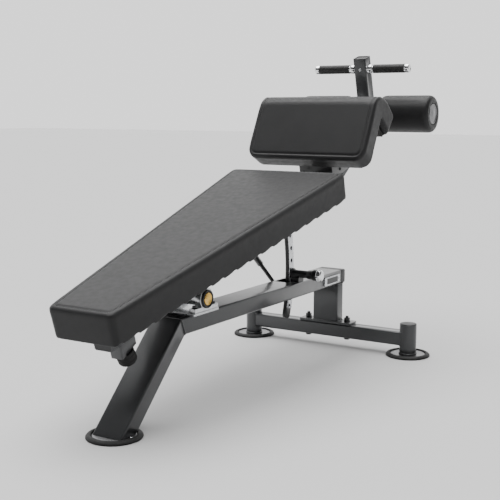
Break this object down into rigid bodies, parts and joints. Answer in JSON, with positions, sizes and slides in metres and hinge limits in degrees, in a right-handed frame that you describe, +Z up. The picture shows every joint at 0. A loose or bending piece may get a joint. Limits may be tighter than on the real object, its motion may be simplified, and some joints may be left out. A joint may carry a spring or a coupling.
{
  "type": "adjustable weight bench",
  "caption": "Decline bench on a three-foot frame: tapered back pad, bent knee pad, ankle rollers and T-handle on a carriage that tilts over a pull-pin sector.",
  "frame": {"origin": "on the floor, under the centre of the whole bench's bounding box", "axes": "+X across the bench to the right of a user lying on it with the head at -Y, +Y along the bench towards the knee pad and rollers, +Z up"},
  "size_m": [0.801, 1.7634, 1.0749],
  "materials": {
    "frame_paint": "dark grey metallic powder coat, satin gloss",
    "black_steel": "black satin coat",
    "upholstery": "black vinyl, fine grain, stitched",
    "pad_board": "plywood behind black backing",
    "black_plastic": "moulded, satin",
    "black_rubber": "matt",
    "bearing_metal": "silver coat, satin",
    "bright_steel": "zinc-plated, satin",
    "chrome": "polished",
    "gold_metal": "anodised gold, satin"
  },
  "bodies": {
    "frame": {"badge_plate": "bright_steel", "beam_end_cap": "black_plastic", "column_base_plate": "frame_paint", "column_bolt_left": "black_steel", "column_bolt_right": "black_steel", "foot_disc_front": "bright_steel", "foot_disc_left": "bright_steel", "foot_disc_right": "bright_steel", "foot_post_cap_left": "black_plastic", "foot_post_cap_right": "black_plastic", "foot_post_left": "frame_paint", "foot_post_right": "frame_paint", "front_leg": "frame_paint", "gas_spring_stud": "bright_steel", "main_beam": "frame_paint", "pin_housing": "black_steel", "pivot_block_left": "bearing_metal", "pivot_block_right": "bearing_metal", "pivot_bolt_left_front": "black_steel", "pivot_bolt_left_rear": "black_steel", "pivot_bolt_right_front": "black_steel", "pivot_bolt_right_rear": "black_steel", "pivot_cap_left": "black_plastic", "pivot_cap_right": "black_plastic", "pivot_disc_left": "gold_metal", "pivot_disc_right": "gold_metal", "pivot_plate": "bearing_metal", "rear_column": "frame_paint", "rear_crossbar": "frame_paint", "rubber_foot_front": "black_rubber", "rubber_foot_left": "black_rubber", "rubber_foot_right": "black_rubber"},
    "carriage": {"back_pad_board": "pad_board", "back_pad_cushion": "upholstery", "carriage_hub": "bearing_metal", "carriage_rail": "frame_paint", "carriage_riser": "frame_paint", "gas_spring_plate": "black_steel", "handle_bar": "chrome", "handle_grip_left": "black_rubber", "handle_grip_right": "black_rubber", "handle_post": "frame_paint", "handle_post_cap": "black_plastic", "knee_pad_board": "pad_board", "knee_pad_bracket": "black_steel", "knee_pad_cushion": "upholstery", "pivot_shaft": "bright_steel", "roller_shaft": "bright_steel", "sector_bar": "black_steel", "sector_strip": "bright_steel", "stop_bracket": "frame_paint", "stop_bumper": "black_rubber"},
    "left_roller": {"ankle_roller_left": "upholstery", "roller_cap_left": "black_plastic"},
    "right_roller": {"ankle_roller_right": "upholstery", "roller_cap_right": "black_plastic"},
    "gas_spring_rod": {"gas_spring_rod": "black_steel"},
    "gas_spring_tube": {"gas_spring_tube": "black_steel"},
    "pull_pin": {"lock_pin": "bright_steel", "pin_knob": "chrome"}
  },
  "joints": [
    {"name": "pad_tilt", "type": "hinge", "parent": "frame", "child": "carriage", "pos_m": [0, -0.40218, 0.3275], "axis": [1, 0, 0], "range_deg": [-16.64, 8.32]},
    {"name": "left_roller_spin", "type": "hinge", "parent": "carriage", "child": "left_roller", "pos_m": [-0.17, 0.81169, 0.85496], "axis": [1, 0, 0], "continuous": true},
    {"name": "right_roller_spin", "type": "hinge", "parent": "carriage", "child": "right_roller", "pos_m": [0.17, 0.81169, 0.85496], "axis": [1, 0, 0], "continuous": true},
    {"name": "pull_pin_slide", "type": "slide", "parent": "frame", "child": "pull_pin", "axis": [1, 0, 0], "range_m": [-0.018, 0]},
    {"name": "gas_spring_swing", "type": "hinge", "parent": "frame", "child": "gas_spring_rod", "pos_m": [-0.062, 0.21982, 0.258], "axis": [1, 0, 0], "range_deg": [-6, 11.5]},
    {"name": "gas_spring_stroke", "type": "slide", "parent": "gas_spring_rod", "child": "gas_spring_tube", "axis": [0, -0.7627, 0.6468], "range_m": [-0.0905, 0.0455]}
  ],
  "couplings": [
    {"joint": "gas_spring_swing", "follows": "pad_tilt", "ratio": -0.67},
    {"joint": "gas_spring_stroke", "follows": "pad_tilt", "m_per_rad": 0.31}
  ]
}
